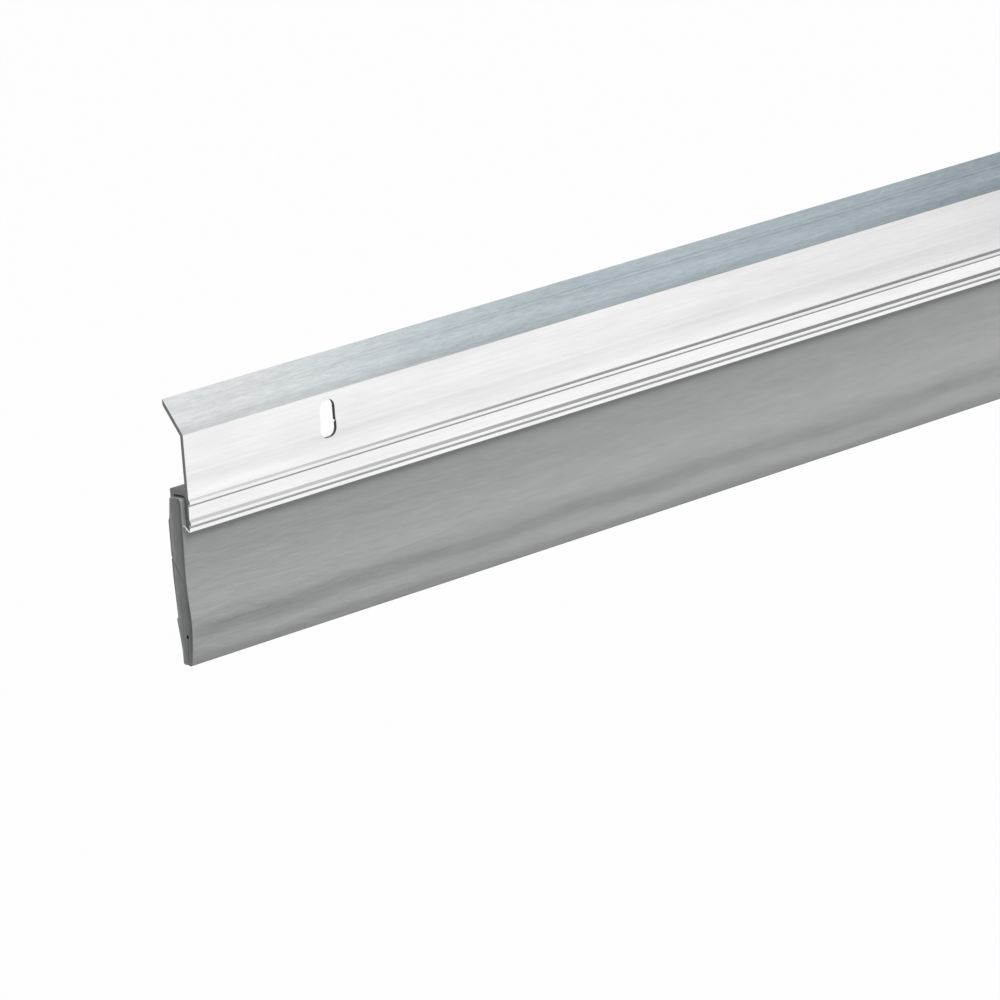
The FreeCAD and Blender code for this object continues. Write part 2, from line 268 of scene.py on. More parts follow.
def patchAndReflectionTone(tree, patches, height):  # the mottling as a factor, plainest on the lip, where it is mostly painted reflection
    values = millFinish
    strength = addNode(tree, "ShaderNodeMapRange", links={
        "Value": height,
        "From Min": (bendLevel - values["patchBlend"]) * mm,
        "From Max": (bendLevel + values["patchBlend"]) * mm,
        "To Min": values["patchAndReflectionTones"][0],
        "To Max": values["patchAndReflectionTones"][1],
    })
    darker = addNode(tree, "ShaderNodeMapRange", links={
        "Value": patches, "From Min": noiseSpread[0], "From Max": noiseSpread[1], "To Min": -1, "To Max": 0,
    })
    return addNode(tree, "ShaderNodeMath", {"operation": "MULTIPLY_ADD"}, {0: darker, 1: strength, 2: 1})


def makeMillAluminium():
    values = millFinish
    material, tree = newMaterial("millFinishAluminium")
    place = addNode(tree, "ShaderNodeTexCoord").outputs["Object"]
    height = addNode(tree, "ShaderNodeSeparateXYZ", links={"Vector": place}).outputs["Z"]
    haze = stretchedNoise(tree, place, values["hazeGrain"], {"Detail": 5, "Roughness": 0.65})
    lines = stretchedNoise(tree, place, values["lineGrain"], {"Detail": 4, "Roughness": 0.7})
    patches = stretchedNoise(tree, place, values["patchGrain"], {"Detail": 5, "Roughness": 0.6})
    colour = addNode(tree, "ShaderNodeValToRGB", links={"Fac": haze}, stops=values["hazeTints"])
    lineTone = addNode(tree, "ShaderNodeMapRange", links={
        "Value": lines,
        "From Min": values["lineValues"][0],
        "From Max": values["lineValues"][1],
        "To Min": values["lineFade"],
        "To Max": 1,
    })
    for tone in (lineTone, patchAndReflectionTone(tree, patches, height), *reflectionAndDieTones(tree, place, height)):
        colour = addNode(tree, "ShaderNodeVectorMath", {"operation": "MULTIPLY"}, {0: colour, 1: tone})
    roughness = addNode(tree, "ShaderNodeMapRange", links={
        "Value": patches,
        "From Min": noiseSpread[0],
        "From Max": noiseSpread[1],
        "To Min": values["roughness"][0],
        "To Max": values["roughness"][1],
    })
    patchBump = addNode(tree, "ShaderNodeBump", links={
        "Height": patches, "Strength": 1, "Distance": values["patchDepth"] * mm,
    })
    lineBump = addNode(tree, "ShaderNodeBump", links={
        "Height": lines, "Strength": 1, "Distance": values["lineHeight"] * mm, "Normal": patchBump,
    })
    shader = addNode(tree, "ShaderNodeBsdfPrincipled", links={
        "Base Color": colour, "Roughness": roughness, "Metallic": 1, "Normal": lineBump,
    })
    addNode(tree, "ShaderNodeOutputMaterial", links={"Surface": shader})
    return material


# Sawn aluminium is dull grey with fine tooth marks. Punched walls are darker and torn. In the
# creases under the beads a matt grey line is painted shade, where each bead shades the web. Marks are in mm.

cutFinishes = {
    "sawnAluminium": {"colour": "#a2a3a2", "roughness": 0.5, "markSpacing": 0.3, "markDepth": 0.01},
    "punchedAluminium": {"colour": "#626262", "roughness": 0.6, "markSpacing": 0.35, "markDepth": 0.03},
    # painted shade: the darker crease line under each bead
    "creaseShadeAluminium": {"colour": "#b8baba", "roughness": 0.6, "markSpacing": 0.5, "markDepth": 0.01},
}


def makeCutAluminium(name):
    values = cutFinishes[name]
    material, tree = newMaterial(name)
    place = addNode(tree, "ShaderNodeTexCoord").outputs["Object"]
    marks = addNode(tree, "ShaderNodeTexNoise", links={
        "Vector": place, "Scale": 1 / (values["markSpacing"] * mm), "Detail": 3,
    })
    bump = addNode(tree, "ShaderNodeBump", links={
        "Height": marks, "Strength": 1, "Distance": values["markDepth"] * mm,
    })
    shader = addNode(tree, "ShaderNodeBsdfPrincipled", links={
        "Base Color": linear(values["colour"]),
        "Roughness": values["roughness"],
        "Metallic": 1,
        "Normal": bump,
    })
    addNode(tree, "ShaderNodeOutputMaterial", links={"Surface": shader})
    return material


# Flexible grey PVC: extruded and soft, an even mid grey with a low sheen. It has faint wavy
# drag marks along its length, strongest near the ends, where the warm profile was pulled.

vinylFinish = {
    "tints": ((0.3, "#a1a3a2"), (0.7, "#a8aaa9")),
    "roughness": 0.45,
    "specular": 0.4,
    "rippleGrain": (8, 1.2, 1.2),  # mm
    "rippleDepth": 0.1,
    "rippleReach": 150,  # from each end, over which the ripples die down
    "rippleRest": 0.35,
    "grainSize": 0.35,
    "grainDepth": 0.002,
}


def makeFlexiblePvc():
    values = vinylFinish
    material, tree = newMaterial("flexibleGreyPvc")
    place = addNode(tree, "ShaderNodeTexCoord").outputs["Object"]
    ripples = stretchedNoise(tree, place, values["rippleGrain"], {
        "Detail": 2, "Roughness": 0.5, "Distortion": 0.5,
    })
    colour = addNode(tree, "ShaderNodeValToRGB", links={"Fac": ripples}, stops=values["tints"])
    grain = addNode(tree, "ShaderNodeTexNoise", links={
        "Vector": place, "Scale": 1 / (values["grainSize"] * mm), "Detail": 3,
    })
    strength = addNode(tree, "ShaderNodeMapRange", {"interpolation_type": "SMOOTHSTEP"}, {
        "Value": lengthwise(tree, place),
        "From Min": sealHigh.x - values["rippleReach"] * mm,
        "From Max": sealHigh.x,
        "To Min": values["rippleRest"],
        "To Max": 1,
    })
    grainBump = addNode(tree, "ShaderNodeBump", links={
        "Height": grain, "Strength": 1, "Distance": values["grainDepth"] * mm,
    })
    bump = addNode(tree, "ShaderNodeBump", links={
        "Height": ripples,
        "Strength": strength,
        "Distance": values["rippleDepth"] * mm,
        "Normal": grainBump,
    })
    shader = addNode(tree, "ShaderNodeBsdfPrincipled", links={
        "Base Color": colour,
        "Roughness": values["roughness"],
        "Specular IOR Level": values["specular"],
        "Normal": bump,
    })
    addNode(tree, "ShaderNodeOutputMaterial", links={"Surface": shader})
    return material


# Cut PVC: the sheared ends are duller and a little mottled. Their tones by depth are painted light
# and shade: darker at the very back edge, a painted highlight just in front of it, and painted shade
# towards the front. The split's eye is painted nearly black inside, as painted shade in its hollow.

cutVinyl = {
    "tones": (  # painted light and shade, by depth from the door in mm
        (0.1, "#6e716f"), (0.3, "#8d908e"), (0.5, "#c6c9c7"), (0.9, "#c4c7c5"), (1.4, "#acafad"),
        (2.6, "#a2a5a3"), (3.3, "#8b8e8c"), (3.7, "#7d807e"),
    ),
    "mottle": 0.14,
    "mottleGrain": (1000, 0.5, 2.5),  # mm, so long that it doesn't change along the strip
    "roughness": 0.7,
    # painted shade: the split's eye, nearly black inside
    "eyeShadeColour": "#2c2d2c",
    "eyeRoughness": 0.8,
}


def makeCutPvc():
    values = cutVinyl
    material, tree = newMaterial("cutGreyPvc")
    place = addNode(tree, "ShaderNodeTexCoord").outputs["Object"]
    depth = addNode(tree, "ShaderNodeSeparateXYZ", links={"Vector": place}).outputs["Y"]
    share = addNode(tree, "ShaderNodeMapRange", links={
        "Value": depth, "From Min": 0, "From Max": sealLow.y,
    })
    reach = -sealLow.y / mm
    # painted highlight near the back edge, painted shade towards the front
    tone = addNode(tree, "ShaderNodeValToRGB", links={"Fac": share}, stops=[
        (back / reach, colour) for back, colour in values["tones"]
    ])
    mottle = stretchedNoise(tree, place, values["mottleGrain"], {"Detail": 4})
    change = addNode(tree, "ShaderNodeMapRange", links={
        "Value": mottle,
        "From Min": noiseSpread[0],
        "From Max": noiseSpread[1],
        "To Min": 1 - values["mottle"],
        "To Max": 1 + values["mottle"],
    })
    shader = addNode(tree, "ShaderNodeBsdfPrincipled", links={
        "Base Color": addNode(tree, "ShaderNodeVectorMath", {"operation": "MULTIPLY"}, {0: tone, 1: change}),
        "Roughness": values["roughness"],
    })
    addNode(tree, "ShaderNodeOutputMaterial", links={"Surface": shader})
    return material


# Painted shade for the inside of the split's eye, nearly black
def makeEyeShadePvc():
    material, tree = newMaterial("eyeShadeGreyPvc")
    shader = addNode(tree, "ShaderNodeBsdfPrincipled", links={
        "Base Color": linear(cutVinyl["eyeShadeColour"]), "Roughness": cutVinyl["eyeRoughness"],
    })
    addNode(tree, "ShaderNodeOutputMaterial", links={"Surface": shader})
    return material


millAluminium = makeMillAluminium()
sawnAluminium, punchedAluminium, creaseShadeAluminium = [makeCutAluminium(name) for name in cutFinishes]
flexiblePvc = makeFlexiblePvc()
cutPvc = makeCutPvc()
eyeShadePvc = makeEyeShadePvc()
print("materials made")


# Carrier strip. Heights are counted from the bend between lip and web, depths from the door.

strip = {
    "standOff": 4.9,  # mm, front of the web to the door
    "wall": 0.8,
    "lipAngle": 37,  # degrees back from upright
    "webLean": 0.32,  # how far the web's foot is crimped in on the seal
    "roofDrop": 10.6,
    "roofWall": 1.05,
    "legHeight": 5.3,
    "legRoot": 0.9,
    "legTip": 0.35,
    "channelRound": 0.3,
    "channelCorner": 0.8,  # under the roof, behind the web
    "roofRound": 0.1,
    "bendRound": 0.35,
    "edgeRound": 0.09,
    "footRound": 0.04,
    "lipBackRound": 1.2,
    "cornerPoints": 6,
    "endBevel": 0.06,
    "beads": (  # top, height of the slope, foot, rounding of the hollow above, height of the crease below
        (-12.22, 0.52, -13.3, 0.9, 0.42),
        (-16.18, 0.58, -17.3, 0.1, 0.56),
    ),
    "beadProud": 0.3,
    "creaseDepth": 0.08,
    "creaseFlank": 0.12,
    "creaseRound": 0.02,
}
punchCut = {
    "inset": 36.9,  # mm, from the strip's end to the slot's middle
    "drop": 5.1,  # and from the bend
    "height": 7.2,
    "count": 5,
    # the punch took two strokes that don't quite meet: left and right side of each, and how
    # round the slot's ends are there
    "upperSides": (-1.95, 2.04),
    "upperRounds": (1.9, 1.45),
    "lowerSides": (-2.15, 2.17),
    "lowerRounds": (2, 1.6),
    # heights of the two corners where a side steps from one stroke to the other
    "leftNick": (-0.7, -1.7),
    "leftNickRound": 0.5,
    "rightNick": (-0.55, -0.85),
    "rightNickRound": 0.2,
    "cornerPoints": 10,
    # depth from the door, and the slot's scale there: the punch drew the rim in at the front
    "rim": ((0, 1), (-4.77, 1), (-4.84, 1.012), (-4.88, 1.03), (-4.9, 1.06), (-8, 2.5)),
    "rimDepth": -4.8,
    # where the strokes meet, a chip is out of the wall's back edge: (depth, scale), radius, place
    "chip": ((-3.9, 1), (-4.3, 1), (-4.45, 0.5)),
    "chipRadius": 0.3,
    "chipPlace": (2.14, -0.9),
}
burr = {  # a sliver of metal that the saw left under the strip's foot, over the end of the vinyl
    # distance from the strip's end, depth from the door, height from the bend, scale
    "path": (
        (0.3, -4.35, -18.4, 1),
        (-0.05, -4.45, -18.5, 1),
        (-0.4, -4.3, -18.05, 0.9),
        (-0.72, -4.08, -17.35, 0.8),
        (-0.9, -3.98, -17.1, 0.6),
        (-1.03, -3.95, -17.35, 0.3),
    ),
    "radius": 0.14,
}
barSides = 8  # of the chip and of the burr
endFacing = 0.99  # a cut end's normal lies along the strip, by at least this much
frontFacing = -0.3  # a front's normal looks away from the door, by at least this much
fullMark = 0.9  # a face passes this where all its corners are marked


def stripOutline():
    lean = math.radians(strip["lipAngle"])
    front, back, sharp = -strip["standOff"], strip["wall"] - strip["standOff"], strip["edgeRound"]
    lipTop = strip["standOff"] / math.tan(lean)
    roofUnder = -strip["roofDrop"] - strip["roofWall"]
    legFoot = -strip["roofDrop"] - strip["legHeight"]
    leanSlope = strip["webLean"] / (webHeight + roofUnder)
    creaseDepth, creaseRound = strip["creaseDepth"], strip["creaseRound"]
    corners = [(0, lipTop, sharp), (front, 0, strip["bendRound"]), (front, roofUnder, 0)]
    for top, slope, foot, hollow, crease in strip["beads"]:
        creaseFoot = foot - crease
        # the web leans in below the roof, and each bead with it
        webAtTop = front + (roofUnder - top) * leanSlope
        webAtFoot = front + (roofUnder - foot) * leanSlope
        webBelow = front + (roofUnder - creaseFoot) * leanSlope
        tip = front - strip["beadProud"] + (strip["beads"][0][0] - top) * leanSlope
        corners += [
            (webAtTop, top, hollow),
            (tip, top - slope, sharp),
            (tip, foot, sharp / 2),
            (webAtFoot + creaseDepth, foot, creaseRound, 1),
            (webBelow + creaseDepth, creaseFoot + strip["creaseFlank"], creaseRound, 1),
            (webBelow, creaseFoot, creaseRound, 1),
        ]
    return corners + [
        (front + strip["webLean"], -webHeight, strip["footRound"]),
        (back + strip["webLean"], -webHeight, sharp),
        (back, roofUnder, strip["channelCorner"]),
        (-strip["legRoot"], roofUnder, strip["channelRound"]),
        (-strip["legTip"], legFoot, sharp),
        (0, legFoot, sharp),
        (0, -strip["roofDrop"], strip["channelRound"]),
        (back, -strip["roofDrop"], strip["roofRound"]),
        (back, -strip["wall"] * math.tan(lean / 2), strip["bendRound"]),
        (0, lipTop - strip["wall"] / math.sin(lean), strip["lipBackRound"]),
    ]


def slotOutline():  # seen from the front, about the slot's own middle
    end = punchCut["height"] / 2
    (upperLeft, upperRight), (lowerLeft, lowerRight) = punchCut["upperSides"], punchCut["lowerSides"]
    return [
        (upperLeft, end, punchCut["upperRounds"][0]),
        (upperLeft, punchCut["leftNick"][0], punchCut["leftNickRound"]),
        (lowerLeft, punchCut["leftNick"][1], punchCut["leftNickRound"]),
        (lowerLeft, -end, punchCut["lowerRounds"][0]),
        (lowerRight, -end, punchCut["lowerRounds"][1]),
        (lowerRight, punchCut["rightNick"][1], punchCut["rightNickRound"]),
        (upperRight, punchCut["rightNick"][0], punchCut["rightNickRound"]),
        (upperRight, end, punchCut["upperRounds"][1]),
    ]


def roundedSection(tree, outline, cornerPoints, limit):  # an outline with its roundings and its marks
    rounded = addNode(tree, "GeometryNodeFilletCurve", {"mode": "POLY"}, {
        "Curve": outline,
        "Count": cornerPoints,
        "Radius": tree.nodes.new("GeometryNodeInputRadius"),
        "Limit Radius": limit,
    })
    marked = addNode(tree, "GeometryNodeStoreNamedAttribute", {"data_type": "FLOAT", "domain": "POINT"}, {
        "Geometry": rounded, "Name": "mark", "Value": tree.nodes.new("GeometryNodeInputCurveTilt"),
    })
    levelled = addNode(tree, "GeometryNodeSetCurveTilt", links={"Curve": marked, "Tilt": 0})
    # a sweep lays a section upside down and back to front, so it is turned half round first
    return addNode(tree, "GeometryNodeTransform", links={"Geometry": levelled, "Rotation": (0, 0, math.pi)})


def sweptAlong(tree, path, section, finish):  # a section along a path, scaled by the path's radius
    shape = addNode(tree, "GeometryNodeCurveToMesh", links={
        "Curve": addNode(tree, "GeometryNodeObjectInfo", links={"Object": path}).outputs["Geometry"],
        "Profile Curve": section,
        "Scale": tree.nodes.new("GeometryNodeInputRadius"),
        "Fill Caps": True,
    })
    return addNode(tree, "GeometryNodeSetMaterial", links={"Geometry": shape, "Material": finish})


def beyondBevel(tree, given):  # true for the outermost corners and faces, at either end
    place = tree.nodes.new("GeometryNodeInputPosition")
    return addNode(tree, "FunctionNodeCompare", {"operation": "GREATER_THAN"}, {
        0: lengthwise(tree, place), 1: given["Bevel From"],
    })


def sweptBar(tree, given):  # the piece's section from end to end, with its front edges bevelled there
    section = roundedSection(tree, given["Geometry"], given["Corner Points"], False)
    sweep = sweptAlong(tree, given["Path"], section, given["Finish"])
    lift = addNode(tree, "ShaderNodeCombineXYZ", links={"Z": given["Bend Level"]})
    bar = addNode(tree, "GeometryNodeTransform", links={"Geometry": sweep, "Translation": lift})
    normal = tree.nodes.new("GeometryNodeInputNormal")
    facing = addNode(tree, "ShaderNodeSeparateXYZ", links={"Vector": normal}).outputs["Y"]
    isFront = addNode(tree, "FunctionNodeCompare", {"operation": "LESS_THAN"}, {0: facing, 1: frontFacing})
    frontEdge = addNode(tree, "FunctionNodeBooleanMath", {"operation": "AND"}, {
        0: beyondBevel(tree, given), 1: isFront,
    })
    inward = addNode(tree, "ShaderNodeCombineXYZ", links={"Y": given["Bevel"]})
    return addNode(tree, "GeometryNodeSetPosition", links={
        "Geometry": bar, "Selection": frontEdge, "Offset": inward,
    })


def finishMarked(tree, given, shape):  # the faces between marked corners have a finish of their own
    mark = addNode(tree, "GeometryNodeInputNamedAttribute", {"data_type": "FLOAT"}, {"Name": "mark"})
    isMarked = addNode(tree, "FunctionNodeCompare", {"operation": "GREATER_THAN"}, {0: mark, 1: fullMark})
    return addNode(tree, "GeometryNodeSetMaterial", links={
        "Geometry": shape, "Selection": isMarked, "Material": given["Marked Finish"],
    })


def finishEnds(tree, given, shape):  # the cut faces at both ends have one too
    normal = tree.nodes.new("GeometryNodeInputNormal")
    isCut = addNode(tree, "FunctionNodeCompare", {"operation": "GREATER_THAN"}, {
        0: lengthwise(tree, normal), 1: endFacing,
    })
    isEnd = addNode(tree, "FunctionNodeBooleanMath", {"operation": "AND"}, {
        0: isCut, 1: beyondBevel(tree, given),
    })
    smooth = addNode(tree, "GeometryNodeSetShadeSmooth", links={"Geometry": shape, "Shade Smooth": True})
    real = addNode(tree, "GeometryNodeRealizeInstances", links={"Geometry": smooth})
    return addNode(tree, "GeometryNodeSetMaterial", links={
        "Geometry": real, "Selection": isEnd, "Material": given["End Finish"],
    })


def stripTree(tree, given):
    creased = finishMarked(tree, given, sweptBar(tree, given))
    row = addNode(tree, "GeometryNodeMeshLine", links={
        "Count": given["Slot Count"],
        "Start Location": addNode(tree, "ShaderNodeCombineXYZ", links={
            "X": given["First Slot"], "Z": given["Slot Level"],
        }),
        "Offset": addNode(tree, "ShaderNodeCombineXYZ", links={"X": given["Slot Pitch"]}),
    })

    def cutAtSlots(shape, tool):
        tools = addNode(tree, "GeometryNodeInstanceOnPoints", links={"Points": row, "Instance": tool})
        realTools = addNode(tree, "GeometryNodeRealizeInstances", links={"Geometry": tools})
        return addNode(tree, "GeometryNodeMeshBoolean", {"operation": "DIFFERENCE", "solver": "EXACT"}, {
            "Mesh 1": shape, "Mesh 2": realTools,
        })

    def roundBar(path, radius, finish):
        circle = addNode(tree, "GeometryNodeCurvePrimitiveCircle", links={
            "Resolution": barSides, "Radius": radius,
        })
        return sweptAlong(tree, path, circle, finish)

    # the punch grows wider at the front, and the rim that it drew in there stays bright
    outline = addNode(tree, "GeometryNodeObjectInfo", links={"Object": given["Slot Outline"]})
    slotSection = roundedSection(tree, outline.outputs["Geometry"], given["Slot Corner Points"], True)
    punch = sweptAlong(tree, given["Punch Path"], slotSection, given["Punched Finish"])
    place = tree.nodes.new("GeometryNodeInputPosition")
    depth = addNode(tree, "ShaderNodeSeparateXYZ", links={"Vector": place}).outputs["Y"]
    isRim = addNode(tree, "FunctionNodeCompare", {"operation": "LESS_THAN"}, {
        0: depth, 1: given["Rim Depth"],
    })
    rimmedPunch = addNode(tree, "GeometryNodeSetMaterial", links={
        "Geometry": punch, "Selection": isRim, "Material": given["Finish"],
    })
    chip = roundBar(given["Chip Path"], given["Chip Radius"], given["Punched Finish"])
    slotted = cutAtSlots(cutAtSlots(creased, chip), rimmedPunch)
    sliver = roundBar(given["Burr Path"], given["Burr Radius"], given["Finish"])
    joined = tree.nodes.new("GeometryNodeJoinGeometry")
    for part in (slotted, sliver):
        tree.links.new(part.outputs[0], joined.inputs[0])
    return finishEnds(tree, given, joined)


firstSlot = stripLow.x + punchCut["inset"] * mm
chipAcross, chipUp = punchCut["chipPlace"]
carrierStrip = growPiece("carrierStrip", outlineCurve("stripSection", stripOutline()), stripTree, {
    "Path": endToEnd("stripPath", stripLength, strip["endBevel"], stripLength),
    "Bend Level": bendLevel * mm,
    "Corner Points": strip["cornerPoints"],
    "Bevel": strip["endBevel"] * mm,
    "Bevel From": (stripLength - strip["endBevel"]) / 2 * mm,
    "Slot Outline": outlineCurve("slotShape", slotOutline()),
    "Slot Corner Points": punchCut["cornerPoints"],
    "Punch Path": pathCurve("punchPath", [(0, depth, 0, scale) for depth, scale in punchCut["rim"]]),
    "Rim Depth": punchCut["rimDepth"] * mm,
    "Chip Path": pathCurve("chipPath", [
        (chipAcross, depth, chipUp, scale) for depth, scale in punchCut["chip"]
    ]),
    "Chip Radius": punchCut["chipRadius"] * mm,
    "First Slot": firstSlot,
    "Slot Level": (bendLevel - punchCut["drop"]) * mm,
    "Slot Pitch": -2 * firstSlot / (punchCut["count"] - 1),
    "Slot Count": punchCut["count"],
    "Burr Path": pathCurve("burrPath", [
        (x - stripLength / 2, y, z + bendLevel, scale) for x, y, z, scale in burr["path"]
    ]),
    "Burr Radius": burr["radius"] * mm,
    "Finish": millAluminium,
    "End Finish": sawnAluminium,
    "Punched Finish": punchedAluminium,
    # the creases under the beads get the painted crease shade
    "Marked Finish": creaseShadeAluminium,
})
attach(carrierStrip, "root")
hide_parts("aluminium_carrier")
print("carrier strip made")


# Vinyl seal, in the same heights and depths.

seal = {
    "headFront": -3.8,
    "headTop": -12.1,
    "headRound": 0.5,
    "headBack": -0.8853,  # a hair clear of the leg
    "headBackRound": 0.15,
    "neckBack": -0.4,
    "neckTop": -15.95,
    "shoulderTop": -16.55,
    "shoulderRound": 0.1,
    "gripFront": -3.73,
    "waistFront": -3.5,
    "waistHeight": 18.1,  # heights from here on are above the seal's foot
    "turnFront": -3.9026,
    "turnHeight": 11,
    "bulgeFront": -4.05,
    "bulgeHeight": 8.4,
    "toeFront": -3.13,
    "footRound": 0.4,
    "heelBack": -0.88,
    "heelRise": 0.12,  # the back half of the foot ends a little higher
    "heelHeight": 2.8,
    "heelRound": 0.3,
    "back": -0.1,
    "notchHeight": 8.75,
    "notchDepth": 0.35,
    "notchRise": 0.45,
    "notchRound": 0.08,
    "slopeTop": 16.9,  # the back slopes out again from the notch up to here
    "slopeRound": 0.5,
    "hingeFront": -2.75,
    "hingeMouth": 20.735,  # middle of the slit where it opens in the back
    "hingeEnd": 15.9,
    "hingeRound": 0.03,
    "slitGap": 0.18,
    "slitMouth": -2.22,
    "eyeDepth": -2.6,
    "eyeHeight": 5.6,
    "eyeRadius": 0.25,
    "eyeStretch": 1.6,  # the split pulls the round eye long
    "eyeSteps": 16,
    "frontStep": 0.4,  # spacing of the points down the front
    "lengthStep": 2.5,
    "cornerPoints": 5,
    "endBevel": 0.08,
    # a soft fold along the front, where the skin flexes over the split foot
    "foldTop": 8.2,
    "foldFoot": 1.1,
    "foldDepth": 0.36,
    "foldWander": 1.6,  # how far it wanders up and down
    "foldFade": 0.9,  # how much its depth changes
    "foldGrain": 45,  # the length of strip over which it wanders and changes
    "foldRest": 0.75,  # its depth far from the ends
    "foldReach": 200,
    "foldAtEnd": 0.1,  # and at the cut end, where the blade is flat
    "foldEndReach": 4,
    "wrinkleDepth": 0.12,
    "wrinkleHeight": 4.5,
    "wrinkleLength": 26,
    "toePush": 0.3,  # away from the ends the toe also stands more upright
    "toeTop": 8.5,
    "toeReach": 80,
    "frontDepth": -2.95,  # what stands further forward than this is the front
    "wanderSeed": 3.7,
    "fadeSeed": 9.1,
    "wrinkleSeed": 5.3,
    "slowNoise": (0.25, 0.75),  # the noise's values that stand for -1 and 1
    "evenly": 1000,  # metres: a noise stretched so far doesn't change with height
}
sealFoot = sealLow.z / mm - bendLevel


def arcPoints(start, end, centreUp):  # points from start to just before end, round a centre at that height
    square = start[0] ** 2 - end[0] ** 2 + (start[1] - centreUp) ** 2 - (end[1] - centreUp) ** 2
    across = square / (2 * (start[0] - end[0]))
    first = math.atan2(start[1] - centreUp, start[0] - across)
    turn = math.atan2(end[1] - centreUp, end[0] - across) - first
    turn = (turn + math.pi) % (2 * math.pi) - math.pi
    radius = math.dist(start, (across, centreUp))
    steps = max(1, round(abs(turn) * radius / seal["frontStep"]))
    angles = [first + turn * i / steps for i in range(steps)]
    return [(across + radius * math.cos(a), centreUp + radius * math.sin(a), 0) for a in angles]


def linePoints(start, end):  # points from start to just before end, on a straight side
    steps = max(1, round(math.dist(start, end) / seal["frontStep"]))
    return [
        (start[0] + (end[0] - start[0]) * i / steps, start[1] + (end[1] - start[1]) * i / steps, 0)
        for i in range(steps)
    ]


def sealOutline():
    foot, gap, back = sealFoot, seal["slitGap"], seal["back"]
    grip = (seal["gripFront"], -webHeight)
    waist = (seal["waistFront"], foot + seal["waistHeight"])
    turn = (seal["turnFront"], foot + seal["turnHeight"])
    bulge = (seal["bulgeFront"], foot + seal["bulgeHeight"])
    toe = (seal["toeFront"], foot)
    hingeMouth, hingeEnd = foot + seal["hingeMouth"], foot + seal["hingeEnd"]
    notch = foot + seal["notchHeight"]
    corners = [(seal["headFront"], seal["headTop"], seal["headRound"])]
    corners += linePoints(grip, waist)
    corners += arcPoints(waist, turn, waist[1])
    corners += arcPoints(turn, bulge, bulge[1])
    corners += arcPoints(bulge, toe, bulge[1])
    corners += [(*toe, seal["footRound"]), (seal["slitMouth"] - gap / 2, foot, 0)]
    opening = math.asin(gap / 2 / seal["eyeRadius"])
    for i in range(seal["eyeSteps"] + 1):
        angle = -math.pi / 2 - opening - (2 * math.pi - 2 * opening) * i / seal["eyeSteps"]
        across = seal["eyeDepth"] + seal["eyeRadius"] * math.cos(angle)
        up = foot + seal["eyeHeight"] + seal["eyeRadius"] * seal["eyeStretch"] * math.sin(angle)
        corners.append((across, up, 0, 1))
    return corners + [
        (seal["slitMouth"] + gap / 2, foot + seal["heelRise"], 0),
        (seal["heelBack"], foot + seal["heelRise"], seal["footRound"]),
        (seal["heelBack"], foot + seal["heelHeight"], seal["heelRound"]),
        (back, notch, seal["notchRound"]),
        (back - seal["notchDepth"], notch + seal["notchRise"], seal["notchRound"]),
        (back, foot + seal["slopeTop"], seal["slopeRound"]),
        (back, hingeMouth - gap, seal["hingeRound"]),
        (seal["hingeFront"], hingeEnd - gap, seal["hingeRound"]),
        (seal["hingeFront"], hingeEnd + gap, seal["hingeRound"]),
        (back, hingeMouth + gap, seal["hingeRound"]),
        (back, seal["shoulderTop"], seal["shoulderRound"]),
        (seal["neckBack"], seal["neckTop"], seal["shoulderRound"]),
        (seal["headBack"], seal["headTop"], seal["headBackRound"]),
    ]


def unevenness(tree, position, length, height, seed, reach):  # slow noise from -reach to reach
    grain = addNode(tree, "ShaderNodeCombineXYZ", links={"X": length, "Y": 1, "Z": height})
    spread = addNode(tree, "ShaderNodeVectorMath", {"operation": "DIVIDE"}, {0: position, 1: grain})
    shift = addNode(tree, "ShaderNodeCombineXYZ", links={"X": seed})
    shifted = addNode(tree, "ShaderNodeVectorMath", {"operation": "ADD"}, {0: spread, 1: shift})
    noise = addNode(tree, "ShaderNodeTexNoise", links={"Vector": shifted, "Scale": 1, "Detail": 1})
    level = addNode(tree, "ShaderNodeMapRange", {"clamp": False}, {
        "Value": noise,
        "From Min": seal["slowNoise"][0],
        "From Max": seal["slowNoise"][1],
        "To Min": -1,
        "To Max": 1,
    })
    return addNode(tree, "ShaderNodeMath", {"operation": "MULTIPLY"}, {0: level, 1: reach})


def foldHollow(tree, given, position, height):  # one wave down the front, which wanders and changes
    grain, evenly = given["Fold Grain"], seal["evenly"]
    wander = unevenness(tree, position, grain, evenly, given["Wander Seed"], given["Fold Wander"])
    share = addNode(tree, "ShaderNodeMapRange", links={
        "Value": addNode(tree, "ShaderNodeMath", {"operation": "ADD"}, {0: height, 1: wander}),
        "From Min": given["Fold Foot"],
        "From Max": given["Fold Top"],
        "To Max": 2 * math.pi,
    })
    wave = addNode(tree, "ShaderNodeMath", {"operation": "COSINE"}, {0: share})
    hollow = addNode(tree, "ShaderNodeMath", {"operation": "MULTIPLY_ADD"}, {0: wave, 1: -0.5, 2: 0.5})
    fading = unevenness(tree, position, grain, evenly, given["Fade Seed"], given["Fold Fade"])
    strength = addNode(tree, "ShaderNodeMath", {"operation": "ADD"}, {0: fading, 1: 1})
    fold = addNode(tree, "ShaderNodeMath", {"operation": "MULTIPLY"}, {0: hollow, 1: strength})
    return addNode(tree, "ShaderNodeMath", {"operation": "MULTIPLY"}, {0: fold, 1: given["Fold Depth"]})


